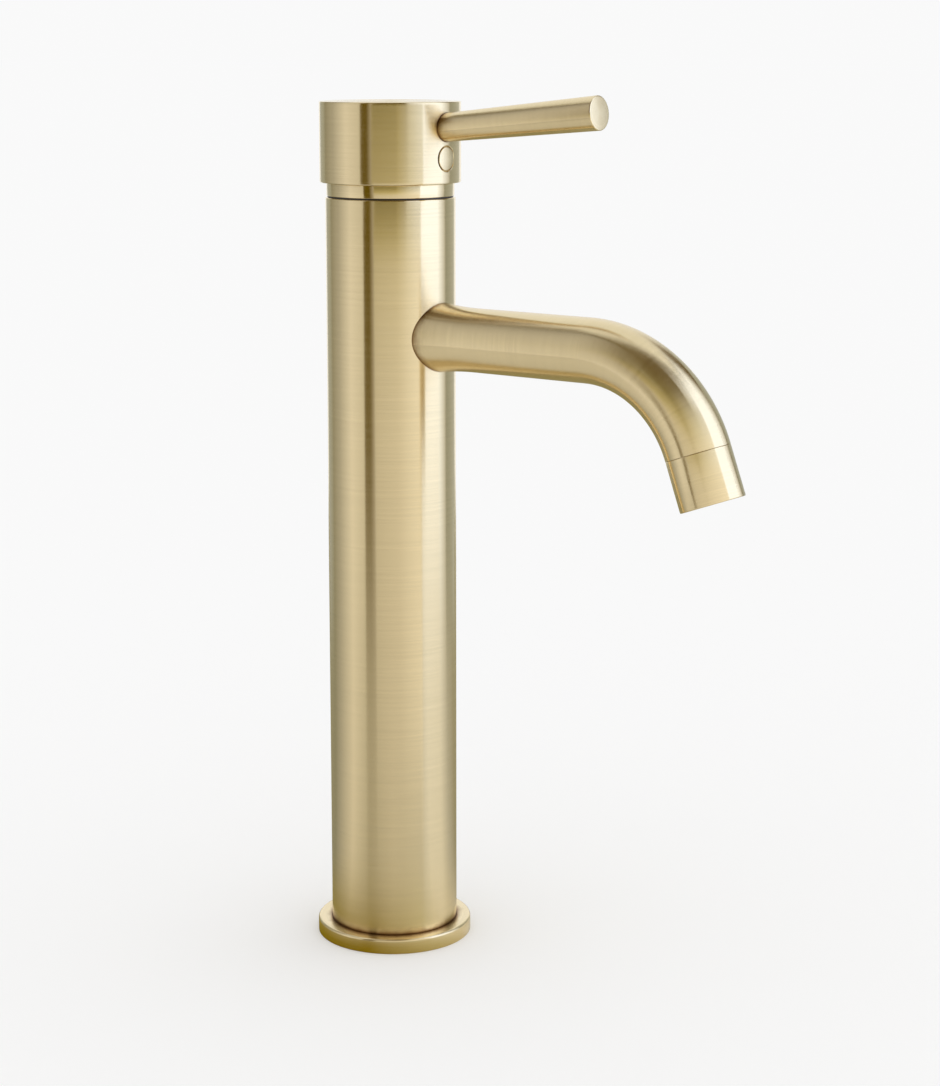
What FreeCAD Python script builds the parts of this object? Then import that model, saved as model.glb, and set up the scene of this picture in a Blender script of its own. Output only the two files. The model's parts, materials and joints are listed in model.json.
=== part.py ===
import FreeCAD, Part

import math
import os

# A tall single-lever basin mixer, in millimetres.
# Z points up and z = 0 is the face that stands on the basin or worktop.
# The spout and the lever point along -Y.  The body's axis is x = y = 0.

# Body, base and neck
BODY_R = 22.5
BODY_WALL = 2.0
BODY_TOP_Z = 264.4
BODY_EDGE = 0.35
FLANGE_R = 27.5
FLANGE_H = 5.3
FLANGE_EDGE = 0.9
LEDGE_Z = 2.2
GASKET_H = 1.5
NECK_R = 22.15
NECK_LOW_Z = 264.95
NECK_STRAIGHT_Z = 269.9
NECK_TOP_Z = 273.2

# Spout
SPOUT_R = 10.9
SPOUT_WALL = 1.5
SPOUT_Z = 217.2
SPOUT_ROOT_Y = -13.6
SPOUT_STRAIGHT = 82.5
SPOUT_BEND_R = 45.0
SPOUT_TURN_DEG = 70.0
SPOUT_TAIL = 0.3
FLARE_R = 12.3
FLARE_FROM = 20.0
FLARE_TO = 37.0
SLEEVE_LENGTH = 17.2
SLEEVE_NECK = 4.0
SLEEVE_BORE_R = 8.2
SEAM_EDGE = 0.25

# Handle
CAP_R = 24.4
CAP_BORE_R = 22.95
CAP_LOW_Z = 269.5
CAP_TOP_Z = 297.0
CAP_ROOF = 3.2
CAP_EDGE = 0.45
BOSS_R = 8.5
BOSS_LOW_Z = 274.5
LEVER_AXIS_Z = 286.2
LEVER_RISE_DEG = 5.4
LEVER_ROOT_R = 4.85
LEVER_TIP_R = 5.7
LEVER_REACH = 86.0
PLUG_Z = 278.0
PLUG_R = 4.0

# Stem and its pivot
PIVOT_Z = 262.0
STEM_SIDE = 8.0
STEM_TOP_Z = 283.5
ARM_LENGTH = 9.0
BALL_R = 2.6
PIN_R = 2.0
PIN_CLEARANCE = 0.05

# Ceramic cartridge, 35 mm class
CARTRIDGE_R = 17.4
SEAT_Z = 236.0
DISC_BASE_Z = 241.0
DISC_H = 4.0
MOVING_DISC_R = 11.0
MOVING_DISC_H = 3.4
DISC_REST_Y = 2.0
SHELL_SHOULDER_Z = 254.0
SHELL_TOP_Z = 259.5
PORT_X = 8.0
PORT_Y = 4.0
OUTLET_Y = -8.0
PORT_R = 3.0
OUTLET_R = 3.8

# Valve housing, nut and pipes
HOUSING_R = 20.4
HOUSING_LOW_Z = 203.0
HOUSING_TOP_Z = 264.0
NUT_THREAD_R = 18.9
NUT_FLATS = 34.0
PIPE_R = 4.0
PIPE_BORE_R = 3.0
INSERT_TOP_Z = 22.0
INLET_R = 4.46
INLET_DEPTH = 12.0
STUD_HOLE_R = 3.4
STUD_HOLE_Y = -11.0
STUD_HOLE_DEPTH = 16.0

# Gap between pieces that are fixed to each other, and between pieces that slide or turn
FIXED_GAP = 0.05
MOVING_GAP = 0.3


def vec(x, y, z):
    return FreeCAD.Vector(x, y, z)


def cylinder(radius, z_low, z_high, x=0.0, y=0.0):
    return Part.makeCylinder(radius, z_high - z_low, vec(x, y, z_low))


def cylinder_along_y(radius, y_low, y_high, x, z):
    return Part.makeCylinder(radius, y_high - y_low, vec(x, y_low, z), vec(0, 1, 0))


def cylinder_along_x(radius, half_length, z):
    return Part.makeCylinder(radius, 2 * half_length, vec(-half_length, 0, z), vec(1, 0, 0))


def box(x_low, x_high, y_low, y_high, z_low, z_high):
    return Part.makeBox(x_high - x_low, y_high - y_low, z_high - z_low, vec(x_low, y_low, z_low))


def ring(outer, inner, z_low, z_high, x=0.0, y=0.0):
    return cylinder(outer, z_low, z_high, x, y).cut(cylinder(inner, z_low, z_high, x, y))


def turned(points):
    """A solid of revolution about Z from a closed outline of (radius, z) points."""
    corners = [vec(r, 0, z) for r, z in points]
    face = Part.Face(Part.makePolygon(corners + corners[:1]))
    return face.revolve(vec(0, 0, 0), vec(0, 0, 1), 360)


def cut_all(shape, tools):
    for tool in tools:
        shape = shape.cut(tool)
    return shape


def outlet_frame():
    """Centre of the spout tube's lower end, and the direction in which the water leaves it."""
    turn = math.radians(SPOUT_TURN_DEG)
    flow = vec(0, -math.cos(turn), -math.sin(turn))
    bend_end = vec(
        0,
        -SPOUT_STRAIGHT - SPOUT_BEND_R * math.sin(turn),
        SPOUT_Z - SPOUT_BEND_R * (1 - math.cos(turn)),
    )
    return bend_end + flow * SPOUT_TAIL, flow


def at_outlet(shape):
    """Places a shape built about Z, with z along the flow, at the spout's lower end."""
    end, flow = outlet_frame()
    shape.Placement = FreeCAD.Placement(end, FreeCAD.Rotation(vec(0, 0, 1), flow))
    return shape


def lever_frame():
    """Point where the lever's axis leaves the cap, and the direction of the lever."""
    rise = math.radians(LEVER_RISE_DEG)
    along = vec(0, -math.cos(rise), math.sin(rise))
    return vec(0, -CAP_R, LEVER_AXIS_Z + CAP_R * math.tan(rise)), along


def along_lever(radius_low, radius_high, start, end):
    """A round bar or cone about the lever's axis, between two distances from the cap's surface."""
    root, along = lever_frame()
    low = root + along * start
    if radius_low == radius_high:
        return Part.makeCylinder(radius_low, end - start, low, along)
    return Part.makeCone(radius_low, radius_high, end - start, low, along)


def port_centres():
    return [(-PORT_X, PORT_Y, PORT_R), (PORT_X, PORT_Y, PORT_R), (0.0, OUTLET_Y, OUTLET_R)]


# ---- base and body ----


def base_flange():
    hole_r = BODY_R - BODY_WALL + 0.1
    recess_r = BODY_R + FIXED_GAP
    gasket_low_r = FLANGE_R - 4.6
    gasket_high_r = FLANGE_R - 1.6
    flange = turned(
        [
            (hole_r, 0),
            (gasket_low_r, 0),
            (gasket_low_r, GASKET_H),
            (gasket_high_r, GASKET_H),
            (gasket_high_r, 0),
            (FLANGE_R, 0),
            (FLANGE_R, FLANGE_H),
            (recess_r, FLANGE_H),
            (recess_r, LEDGE_Z),
            (hole_r, LEDGE_Z),
        ]
    )
    rim = [
        edge
        for edge in flange.Edges
        if abs(edge.BoundBox.ZMin - FLANGE_H) < 1e-6
        and abs(edge.BoundBox.ZMax - FLANGE_H) < 1e-6
        and edge.BoundBox.XMax > FLANGE_R - 0.1
    ]
    return flange.makeFillet(FLANGE_EDGE, rim)


def base_gasket():
    return ring(FLANGE_R - 1.6 - FIXED_GAP, FLANGE_R - 4.6 + FIXED_GAP, 0, GASKET_H - FIXED_GAP)


def body_shell():
    inner_r = BODY_R - BODY_WALL
    low_z = LEDGE_Z + FIXED_GAP
    shell = turned(
        [
            (inner_r, low_z),
            (BODY_R, low_z),
            (BODY_R, BODY_TOP_Z - BODY_EDGE),
            (BODY_R - BODY_EDGE, BODY_TOP_Z),
            (inner_r, BODY_TOP_Z),
        ]
    )
    spout_hole = cylinder_along_y(SPOUT_R + 0.1, -BODY_R - 1, 0, 0, SPOUT_Z)
    return shell.cut(spout_hole)


def base_insert():
    """Brass foot that the supply hoses and the fixing stud screw into."""
    block = cylinder(BODY_R - BODY_WALL - FIXED_GAP, 0, INSERT_TOP_Z)
    tools = [cylinder(STUD_HOLE_R, 0, STUD_HOLE_DEPTH, 0, STUD_HOLE_Y)]
    for side in (-1, 1):
        x = side * PORT_X
        tools.append(cylinder(INLET_R, 0, INLET_DEPTH, x, PORT_Y))
        tools.append(cylinder(PIPE_BORE_R, INLET_DEPTH, INSERT_TOP_Z - 6, x, PORT_Y))
        tools.append(cylinder(PIPE_R + FIXED_GAP, INSERT_TOP_Z - 6, INSERT_TOP_Z, x, PORT_Y))
    return cut_all(block, tools)


def feed_pipe(side):
    low_z = INSERT_TOP_Z - 6 + FIXED_GAP
    high_z = HOUSING_LOW_Z + 6 - FIXED_GAP
    return ring(PIPE_R, PIPE_BORE_R, low_z, high_z, side * PORT_X, PORT_Y)


def valve_housing():
    """Brass block in the body's head: cartridge pocket above, waterways to the spout below."""
    housing = cylinder(HOUSING_R, HOUSING_LOW_Z, HOUSING_TOP_Z)
    pocket = cylinder(CARTRIDGE_R + 0.2, SEAT_Z, HOUSING_TOP_Z)
    nut_thread = cylinder(NUT_THREAD_R + 0.1, SHELL_SHOULDER_Z, HOUSING_TOP_Z)
    spout_socket = cylinder_along_y(SPOUT_R + 0.1, -HOUSING_R, SPOUT_ROOT_Y, 0, SPOUT_Z)
    seal_groove = cylinder_along_y(SPOUT_R + 1.3, SPOUT_ROOT_Y - 2.0, SPOUT_ROOT_Y - 0.6, 0, SPOUT_Z)
    chamber = cylinder_along_y(SPOUT_R - SPOUT_WALL, SPOUT_ROOT_Y, OUTLET_Y + OUTLET_R, 0, SPOUT_Z)
    riser = cylinder(OUTLET_R, SPOUT_Z, SEAT_Z, 0, OUTLET_Y)
    tools = [pocket, nut_thread, spout_socket, seal_groove, chamber, riser]
    for side in (-1, 1):
        x = side * PORT_X
        tools.append(cylinder(PIPE_R + FIXED_GAP, HOUSING_LOW_Z, HOUSING_LOW_Z + 6, x, PORT_Y))
        tools.append(cylinder(PIPE_BORE_R, HOUSING_LOW_Z + 6, SEAT_Z, x, PORT_Y))
        tools.append(cylinder(2.0, SEAT_Z - 3, SEAT_Z, side * 12, OUTLET_Y))
    return cut_all(housing, tools)


def neck_ring():
    """Polished ring between body and cap; its top is a dome about the handle's pivot."""
    inner_r = NUT_FLATS / 2 / math.cos(math.radians(30)) + 0.25
    top_r = dome_radius(NECK_TOP_Z)
    middle_z = (NECK_STRAIGHT_Z + NECK_TOP_Z) / 2
    outline = [
        Part.LineSegment(vec(inner_r, 0, NECK_LOW_Z), vec(NECK_R, 0, NECK_LOW_Z)),
        Part.LineSegment(vec(NECK_R, 0, NECK_LOW_Z), vec(NECK_R, 0, NECK_STRAIGHT_Z)),
        Part.Arc(
            vec(NECK_R, 0, NECK_STRAIGHT_Z),
            vec(dome_radius(middle_z), 0, middle_z),
            vec(top_r, 0, NECK_TOP_Z),
        ),
        Part.LineSegment(vec(top_r, 0, NECK_TOP_Z), vec(inner_r, 0, NECK_TOP_Z)),
        Part.LineSegment(vec(inner_r, 0, NECK_TOP_Z), vec(inner_r, 0, NECK_LOW_Z)),
    ]
    wire = Part.Wire([segment.toShape() for segment in outline])
    solid = Part.Face(wire).revolve(vec(0, 0, 0), vec(0, 0, 1), 360)
    groove = cylinder(inner_r + 0.75, NECK_LOW_Z + 0.8, NECK_LOW_Z + 2.2)
    return solid.cut(groove)


def dome_radius(z):
    """Radius at height z of the sphere about the pivot through the neck's upper edge."""
    sphere_sq = NECK_R**2 + (NECK_STRAIGHT_Z - PIVOT_Z) ** 2
    return math.sqrt(sphere_sq - (z - PIVOT_Z) ** 2)


def neck_oring():
    inner_r = NUT_FLATS / 2 / math.cos(math.radians(30)) + 0.25
    return Part.makeTorus(inner_r + 0.05, 0.65, vec(0, 0, NECK_LOW_Z + 1.5))


def slip_ring():
    return ring(BODY_R - 0.8, BODY_R - BODY_WALL, BODY_TOP_Z + FIXED_GAP, NECK_LOW_Z - FIXED_GAP)


# ---- spout ----


def spout_path():
    turn = math.radians(SPOUT_TURN_DEG)
    half = turn / 2
    bend_start = vec(0, -SPOUT_STRAIGHT, SPOUT_Z)
    bend_middle = vec(
        0,
        -SPOUT_STRAIGHT - SPOUT_BEND_R * math.sin(half),
        SPOUT_Z - SPOUT_BEND_R * (1 - math.cos(half)),
    )
    bend_end = vec(
        0,
        -SPOUT_STRAIGHT - SPOUT_BEND_R * math.sin(turn),
        SPOUT_Z - SPOUT_BEND_R * (1 - math.cos(turn)),
    )
    tail_end, _ = outlet_frame()
    return Part.Wire(
        [
            Part.LineSegment(vec(0, SPOUT_ROOT_Y - FIXED_GAP, SPOUT_Z), bend_start).toShape(),
            Part.Arc(bend_start, bend_middle, bend_end).toShape(),
            Part.LineSegment(bend_end, tail_end).toShape(),
        ]
    )


def swept(radius):
    start = vec(0, SPOUT_ROOT_Y - FIXED_GAP, SPOUT_Z)
    section = Part.Wire([Part.makeCircle(radius, start, vec(0, -1, 0))])
    return spout_path().makePipeShell([section], True, False)


def spout_flare():
    """Shallow concave skirt that blends the tube into the body."""
    growth = FLARE_R - SPOUT_R
    length = FLARE_TO - FLARE_FROM
    middle = (FLARE_FROM + FLARE_TO) / 2
    middle_r = SPOUT_R + growth * ((FLARE_TO - middle) / length) ** 2
    inner_r = SPOUT_R - SPOUT_WALL / 2
    start = vec(0, -FLARE_FROM, SPOUT_Z + FLARE_R)
    end = vec(0, -FLARE_TO, SPOUT_Z + SPOUT_R)
    outline = [
        Part.Arc(start, vec(0, -middle, SPOUT_Z + middle_r), end).toShape(),
        Part.LineSegment(end, vec(0, -FLARE_TO, SPOUT_Z + inner_r)).toShape(),
        Part.LineSegment(
            vec(0, -FLARE_TO, SPOUT_Z + inner_r), vec(0, -17, SPOUT_Z + inner_r)
        ).toShape(),
        Part.LineSegment(
            vec(0, -17, SPOUT_Z + inner_r), vec(0, -17, SPOUT_Z + FLARE_R)
        ).toShape(),
        Part.LineSegment(vec(0, -17, SPOUT_Z + FLARE_R), start).toShape(),
    ]
    skirt = Part.Face(Part.Wire(outline)).revolve(vec(0, 0, SPOUT_Z), vec(0, 1, 0), 360)
    return skirt.cut(cylinder(BODY_R + FIXED_GAP, SPOUT_Z - 30, SPOUT_Z + 30))


def spout_tube():
    outer = swept(SPOUT_R).fuse(spout_flare())
    return outer.cut(swept(SPOUT_R - SPOUT_WALL)).removeSplitter()


def spout_seal():
    return Part.makeTorus(SPOUT_R + 0.67, 0.6, vec(0, SPOUT_ROOT_Y - 1.3, SPOUT_Z), vec(0, 1, 0))


def aerator_sleeve():
    """Outer shell of the aerator: a male neck in the tube and a lip at the mouth."""
    neck_r = SPOUT_R - SPOUT_WALL - 0.25
    lip_r = SLEEVE_BORE_R - 0.9
    lip_z = SLEEVE_LENGTH - 1.5
    return at_outlet(
        turned(
            [
                (SLEEVE_BORE_R, -SLEEVE_NECK),
                (neck_r, -SLEEVE_NECK),
                (neck_r, FIXED_GAP),
                (SPOUT_R - SEAM_EDGE, FIXED_GAP),
                (SPOUT_R, FIXED_GAP + SEAM_EDGE),
                (SPOUT_R, SLEEVE_LENGTH - 0.4),
                (SPOUT_R - 0.4, SLEEVE_LENGTH),
                (lip_r, SLEEVE_LENGTH),
                (lip_r, lip_z),
                (SLEEVE_BORE_R, lip_z),
            ]
        )
    )


def aerator_washer():
    return at_outlet(ring(SLEEVE_BORE_R - FIXED_GAP, 6.2, 2.6, 4.4))


def aerator_body():
    """Cup that mixes air into the water: jets in its roof, a screen in its mouth."""
    outer_r = SLEEVE_BORE_R - FIXED_GAP
    low_z = 4.5
    high_z = SLEEVE_LENGTH - 1.5 - FIXED_GAP
    cup = cylinder(outer_r, low_z, high_z).cut(cylinder(outer_r - 1.1, low_z + 2, high_z))
    jets = []
    for step in range(10):
        angle = math.radians(36 * step)
        jets.append(cylinder(0.6, low_z, low_z + 2, 4.6 * math.cos(angle), 4.6 * math.sin(angle)))
    return at_outlet(cut_all(cup, jets))


def aerator_screen():
    """Round grid whose square holes straighten the stream."""
    radius = SLEEVE_BORE_R - FIXED_GAP - 1.1 - FIXED_GAP
    high_z = SLEEVE_LENGTH - 1.5 - FIXED_GAP
    low_z = high_z - 1.4
    pitch = 1.9
    hole = 1.3
    reach = radius - 0.5
    screen = cylinder(radius, low_z, high_z)
    holes = []
    for row in range(-4, 5):
        for column in range(-4, 5):
            x = row * pitch
            y = column * pitch
            if math.hypot(abs(x) + hole / 2, abs(y) + hole / 2) < reach:
                half = hole / 2
                holes.append(box(x - half, x + half, y - half, y + half, low_z, high_z))
    return at_outlet(screen.cut(Part.makeCompound(holes)))


# ---- cartridge ----


def cartridge_base():
    low_z = SEAT_Z + FIXED_GAP
    base = cylinder(CARTRIDGE_R, low_z, DISC_BASE_Z)
    for side in (-1, 1):
        base = base.fuse(cylinder(1.9, SEAT_Z - 2.6, low_z + 1, side * 12, OUTLET_Y))
    tools = []
    for x, y, radius in port_centres():
        tools.append(cylinder(radius, low_z, DISC_BASE_Z, x, y))
        tools.append(ring(radius + 2.5, radius + 0.7, low_z, low_z + 1.3, x, y))
        tools.append(ring(radius + 2.2, radius + 0.6, DISC_BASE_Z - 1.2, DISC_BASE_Z, x, y))
    return cut_all(base, tools)


def port_seals():
    """Three rings under the cartridge, one round each waterway."""
    z = SEAT_Z + FIXED_GAP + 0.68
    rings = [Part.makeTorus(radius + 1.6, 0.6, vec(x, y, z)) for x, y, radius in port_centres()]
    return Part.makeCompound(rings)


def disc_seals():
    """Three rings between the cartridge base and the fixed disc."""
    z = DISC_BASE_Z - 0.6
    rings = [Part.makeTorus(radius + 1.4, 0.55, vec(x, y, z)) for x, y, radius in port_centres()]
    return Part.makeCompound(rings)


def fixed_disc():
    low_z = DISC_BASE_Z + FIXED_GAP
    high_z = DISC_BASE_Z + DISC_H
    disc = cylinder(13.6, low_z, high_z)
    tools = [cylinder(radius - 0.3, low_z, high_z, x, y) for x, y, radius in port_centres()]
    return cut_all(disc, tools)


def moving_disc():
    """Sliding disc: the hollow in its underside joins the inlets to the outlet."""
    low_z = DISC_BASE_Z + DISC_H + 0.1
    disc = cylinder(MOVING_DISC_R, low_z, low_z + MOVING_DISC_H, 0, DISC_REST_Y)
    hollow = cylinder(6.2, low_z, low_z + 2.0, 0, DISC_REST_Y - 2.5)
    return disc.cut(hollow)


def disc_carrier():
    """Carries the moving disc; the stem's ball pushes it through the slot in its top."""
    low_z = DISC_BASE_Z + DISC_H + 0.1 + MOVING_DISC_H + FIXED_GAP
    high_z = PIVOT_Z - ARM_LENGTH + 1.9
    carrier = cylinder(MOVING_DISC_R - 0.3, low_z, high_z, 0, DISC_REST_Y)
    carrier = carrier.common(box(-9, 9, -20, 20, low_z, high_z))
    half = BALL_R + MOVING_GAP
    slot = box(-half, half, -half, half, PIVOT_Z - ARM_LENGTH - BALL_R - 0.4, high_z)
    return carrier.cut(slot)


def cartridge_shell():
    low_z = DISC_BASE_Z + FIXED_GAP
    return turned(
        [
            (15.5, low_z),
            (CARTRIDGE_R, low_z),
            (CARTRIDGE_R, SHELL_SHOULDER_Z),
            (16.4, SHELL_SHOULDER_Z),
            (16.4, SHELL_TOP_Z),
            (12.3, SHELL_TOP_Z),
            (12.3, SHELL_TOP_Z - 2.2),
            (15.5, SHELL_TOP_Z - 2.2),
        ]
    )


def turret():
    """Turns with the handle; holds the pivot pin and guides the disc carrier."""
    collar_z = SHELL_TOP_Z - 2.2 - MOVING_GAP
    plate_z = PIVOT_Z - ARM_LENGTH + 1.9 + MOVING_GAP
    leg_z = 249.0
    body = cylinder(15.1, leg_z, collar_z).fuse(cylinder(11.95, collar_z, 266.0))
    channel = box(-9 - MOVING_GAP, 9 + MOVING_GAP, -20, 20, leg_z, plate_z)
    slot_half = STEM_SIDE / 2 + 0.35
    slot = box(-slot_half, slot_half, -7.6, 7.6, leg_z, 266.0)
    pin_hole = cylinder_along_x(PIN_R + 0.02, 12, PIVOT_Z)
    return cut_all(body, [channel, slot, pin_hole])


def pivot_pin():
    return cylinder_along_x(PIN_R, 10.6, PIVOT_Z)


def stem():
    """Square stem on its hub, with a round arm and a ball that works the disc carrier."""
    half = STEM_SIDE / 2
    upper = box(-half, half, -half, half, PIVOT_Z, STEM_TOP_Z)
    hub = cylinder_along_x(half, half, PIVOT_Z)
    arm = cylinder(1.9, PIVOT_Z - ARM_LENGTH, PIVOT_Z)
    ball = Part.makeSphere(BALL_R, vec(0, 0, PIVOT_Z - ARM_LENGTH))
    pin_hole = cylinder_along_x(PIN_R + PIN_CLEARANCE, half + 1, PIVOT_Z)
    return upper.fuse(hub).fuse(arm).fuse(ball).cut(pin_hole).removeSplitter()


def cartridge_nut():
    """Threads into the housing and clamps the cartridge; hexagon above for a spanner."""
    flats_r = NUT_FLATS / 2 / math.cos(math.radians(30))
    flange_z = NECK_LOW_Z + 2.4
    top_z = 271.5
    corners = [
        vec(flats_r * math.cos(math.radians(60 * k)), flats_r * math.sin(math.radians(60 * k)), flange_z)
        for k in range(7)
    ]
    hexagon = Part.Face(Part.makePolygon(corners)).extrude(vec(0, 0, top_z - flange_z))
    low_z = SHELL_SHOULDER_Z + 0.3
    thread = cylinder(NUT_THREAD_R, low_z, HOUSING_TOP_Z + FIXED_GAP)
    flange = cylinder(flats_r - 0.4, HOUSING_TOP_Z + FIXED_GAP, flange_z)
    bore = cylinder(15.2, low_z, top_z)
    clamp_bore = cylinder(16.6, low_z, SHELL_TOP_Z + FIXED_GAP)
    return cut_all(thread.fuse(flange).fuse(hexagon), [bore, clamp_bore])


# ---- handle ----


def handle_cap():
    """Cap over the cartridge: thin skirt, roof, stem boss and a lug that takes the lever."""
    roof_z = CAP_TOP_Z - CAP_ROOF
    cap = turned(
        [
            (CAP_BORE_R, CAP_LOW_Z),
            (CAP_R - CAP_EDGE, CAP_LOW_Z),
            (CAP_R, CAP_LOW_Z + CAP_EDGE),
            (CAP_R, CAP_TOP_Z - CAP_EDGE),
            (CAP_R - CAP_EDGE, CAP_TOP_Z),
            (0, CAP_TOP_Z),
            (0, roof_z),
            (CAP_BORE_R, roof_z),
        ]
    )
    boss = cylinder(BOSS_R, BOSS_LOW_Z, roof_z)
    lug = box(-7, 7, -CAP_BORE_R, 0, 283.2, roof_z).common(cylinder(CAP_BORE_R, 280, roof_z))
    cap = cap.fuse(boss).fuse(lug)
    half = STEM_SIDE / 2 + FIXED_GAP
    socket = box(-half, half, -half, half, BOSS_LOW_Z, STEM_TOP_Z + FIXED_GAP)
    plug_hole = cylinder_along_y(PLUG_R + 0.25, -CAP_R - 1, -CAP_BORE_R + 1.5, 0, PLUG_Z)
    screw_hole = cylinder_along_y(2.5 + FIXED_GAP, -CAP_BORE_R + 1, -3, 0, PLUG_Z)
    lever_seat = along_lever(LEVER_ROOT_R + FIXED_GAP, LEVER_ROOT_R + FIXED_GAP, -2.0, 8)
    stud_hole = along_lever(3.0 + FIXED_GAP, 3.0 + FIXED_GAP, -14, 0)
    return cut_all(cap, [socket, plug_hole, screw_hole, lever_seat, stud_hole]).removeSplitter()


def lever_rod():
    length = (LEVER_REACH - CAP_R) / math.cos(math.radians(LEVER_RISE_DEG))
    seat = along_lever(LEVER_ROOT_R, LEVER_ROOT_R, -2.0 + FIXED_GAP, 0)
    taper = along_lever(LEVER_ROOT_R, LEVER_TIP_R, 0, length - 0.4)
    tip = along_lever(LEVER_TIP_R, LEVER_TIP_R - 0.4, length - 0.4, length)
    stud_hole = along_lever(3.0 + FIXED_GAP, 3.0 + FIXED_GAP, -3, 12)
    return seat.fuse(taper).fuse(tip).cut(stud_hole).removeSplitter()


def lever_stud():
    return along_lever(3.0, 3.0, -13.8, 11.8)


def grub_screw():
    screw = cylinder_along_y(2.5, -10.0, -STEM_SIDE / 2 - 2 * FIXED_GAP, 0, PLUG_Z)
    corners = [
        vec(1.44 * math.cos(math.radians(60 * k)), -10.0, PLUG_Z + 1.44 * math.sin(math.radians(60 * k)))
        for k in range(7)
    ]
    key_socket = Part.Face(Part.makePolygon(corners)).extrude(vec(0, 3, 0))
    return screw.cut(key_socket)


def index_plug():
    """Round blanking plug over the grub screw, with a stepped shank and a low domed face."""
    face_y = -CAP_R - 0.15
    outline = [
        Part.Arc(
            vec(0, face_y, PLUG_Z),
            vec(PLUG_R / 2, face_y + 0.08, PLUG_Z),
            vec(PLUG_R, face_y + 0.35, PLUG_Z),
        ).toShape(),
        Part.LineSegment(vec(PLUG_R, face_y + 0.35, PLUG_Z), vec(PLUG_R, -21.6, PLUG_Z)).toShape(),
        Part.LineSegment(vec(PLUG_R, -21.6, PLUG_Z), vec(0, -21.6, PLUG_Z)).toShape(),
        Part.LineSegment(vec(0, -21.6, PLUG_Z), vec(0, face_y, PLUG_Z)).toShape(),
    ]
    face = Part.Face(Part.Wire(outline))
    return face.revolve(vec(0, 0, PLUG_Z), vec(0, 1, 0), 360)


NODES = {
    "base_flange": base_flange,
    "base_gasket": base_gasket,
    "body_shell": body_shell,
    "base_insert": base_insert,
    "feed_pipe_hot": lambda: feed_pipe(-1),
    "feed_pipe_cold": lambda: feed_pipe(1),
    "valve_housing": valve_housing,
    "slip_ring": slip_ring,
    "neck_ring": neck_ring,
    "neck_oring": neck_oring,
    "spout_tube": spout_tube,
    "spout_seal": spout_seal,
    "aerator_sleeve": aerator_sleeve,
    "aerator_washer": aerator_washer,
    "aerator_body": aerator_body,
    "aerator_screen": aerator_screen,
    "cartridge_base": cartridge_base,
    "port_seals": port_seals,
    "disc_seals": disc_seals,
    "fixed_disc": fixed_disc,
    "moving_disc": moving_disc,
    "disc_carrier": disc_carrier,
    "cartridge_shell": cartridge_shell,
    "turret": turret,
    "pivot_pin": pivot_pin,
    "stem": stem,
    "cartridge_nut": cartridge_nut,
    "handle_cap": handle_cap,
    "lever_rod": lever_rod,
    "lever_stud": lever_stud,
    "grub_screw": grub_screw,
    "index_plug": index_plug,
}


def main():
    os.makedirs("parts", exist_ok=True)
    for name, make in NODES.items():
        shape = make()
        if not shape.isValid():
            raise RuntimeError(name + " is not a valid shape")
        shape.exportStep(os.path.join("parts", name + ".step"))
        print(f"{name:16s} solids {len(shape.Solids)}  volume {shape.Volume / 1000:8.3f} cm3")


main()
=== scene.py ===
import json
import math

import bmesh
import bpy
from bpy.props import FloatProperty, FloatVectorProperty, IntProperty, PointerProperty
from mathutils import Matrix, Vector


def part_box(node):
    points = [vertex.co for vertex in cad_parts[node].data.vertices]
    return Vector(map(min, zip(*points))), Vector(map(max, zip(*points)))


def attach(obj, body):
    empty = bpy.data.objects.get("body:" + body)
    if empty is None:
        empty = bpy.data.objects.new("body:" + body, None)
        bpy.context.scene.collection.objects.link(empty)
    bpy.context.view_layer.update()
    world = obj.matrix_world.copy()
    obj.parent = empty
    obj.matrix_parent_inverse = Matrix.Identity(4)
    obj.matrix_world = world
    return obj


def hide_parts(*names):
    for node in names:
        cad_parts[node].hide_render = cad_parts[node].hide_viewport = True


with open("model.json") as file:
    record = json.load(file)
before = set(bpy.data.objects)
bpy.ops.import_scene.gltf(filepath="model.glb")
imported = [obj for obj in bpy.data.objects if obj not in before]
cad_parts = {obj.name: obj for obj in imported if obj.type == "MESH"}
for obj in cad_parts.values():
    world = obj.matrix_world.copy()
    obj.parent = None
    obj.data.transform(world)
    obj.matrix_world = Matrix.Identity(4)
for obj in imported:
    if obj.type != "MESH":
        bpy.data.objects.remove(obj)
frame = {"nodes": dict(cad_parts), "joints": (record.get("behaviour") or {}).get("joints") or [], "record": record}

bl_info = {
    "name": "Basin Mixer",
    "version": (1, 0, 0),
    "blender": (4, 5, 0),
    "location": "3D View > Sidebar > Mixer",
    "description": "Models a tall single-lever basin mixer round its packed frame",
    "category": "Object",
}

MM = 0.001
FULL_TURN = 2 * math.pi
GRAIN_MAP = "grain"
METRES_PER_RADIAN = 20 * MM
EPSILON = 1e-6
CLEARANCE = 0.05 * MM
SMOOTH_UNDER = math.radians(32)
TUBE_FACETS = 96

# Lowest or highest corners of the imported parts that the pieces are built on.
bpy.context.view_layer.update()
BODY_LOW, BODY_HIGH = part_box("body_shell")
FLANGE_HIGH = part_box("base_flange")[1]
NECK_LOW, NECK_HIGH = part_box("neck_ring")
CAP_LOW, CAP_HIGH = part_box("handle_cap")
PLUG_LOW, PLUG_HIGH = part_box("index_plug")
SEAL_LOW, SEAL_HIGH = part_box("spout_seal")
LEVER_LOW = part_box("lever_rod")[0]
PIVOT_Z = frame["joints"][0]["pos_m"][2]


# ---- sizes, finishes and stage settings ----


def length(name, description, default):
    return FloatProperty(name=name, description=description, default=default, unit="LENGTH", precision=5)


def colour(name, description, default):
    return FloatVectorProperty(
        name=name, description=description, default=default, subtype="COLOR", size=3, min=0, max=1
    )


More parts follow.
